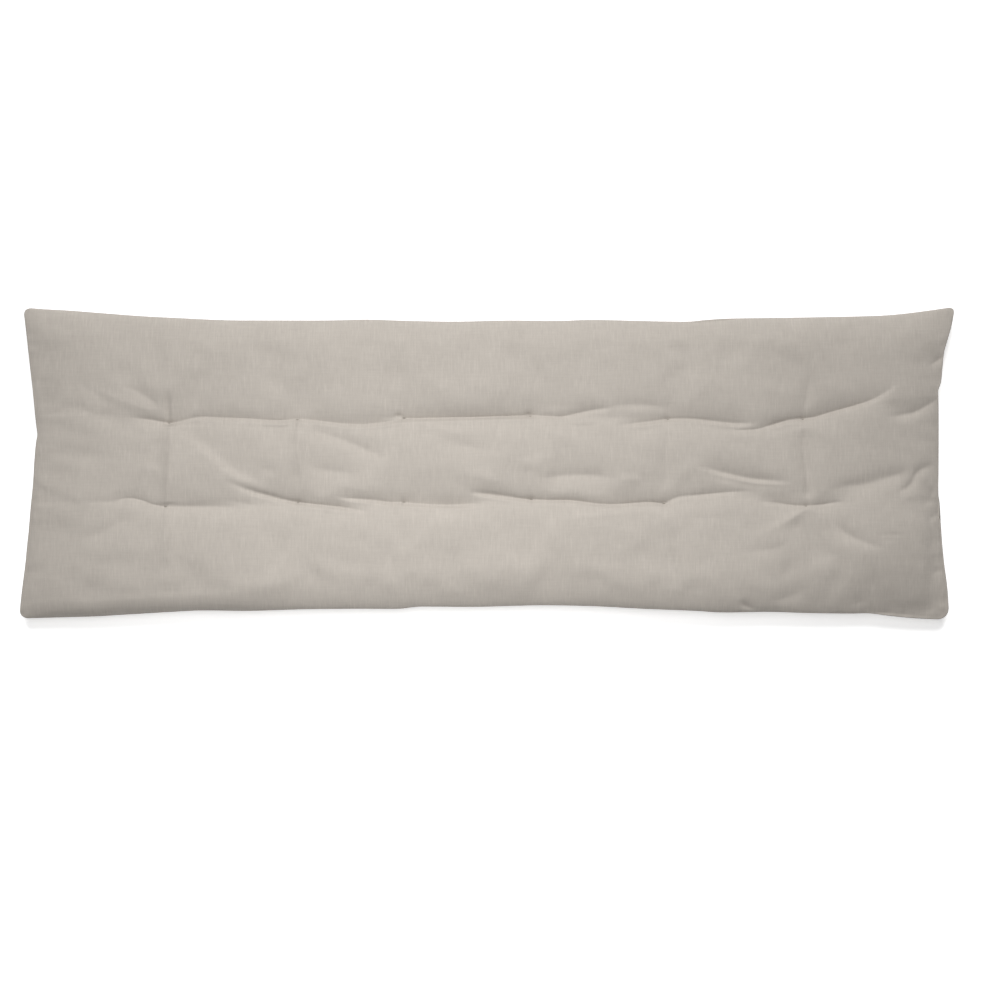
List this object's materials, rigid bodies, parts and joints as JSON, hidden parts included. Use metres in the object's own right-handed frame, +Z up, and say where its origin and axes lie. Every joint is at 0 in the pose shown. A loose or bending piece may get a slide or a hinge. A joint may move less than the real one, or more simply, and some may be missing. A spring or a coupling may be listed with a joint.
{
  "type": "long sofa cushion",
  "caption": "Long, thin fibre-filled sofa cushion with a plain knife-edge seam and two rows of tufted pinches that divide its face into long lobes.",
  "frame": {"origin": "centre of the cushion's bounding box in plan, at the height of the surface it lies on", "axes": "+X along the length, +Y across the width, +Z up out of the tufted face. The cushion lies on its back."},
  "size_m": [1.7938, 0.5986, 0.0704],
  "materials": {
    "cover_cloth": "matte plain-woven linen look, greige with slubbed yarns"
  },
  "bodies": {
    "root": {"cushion": "cover_cloth"}
  },
  "joints": []
}
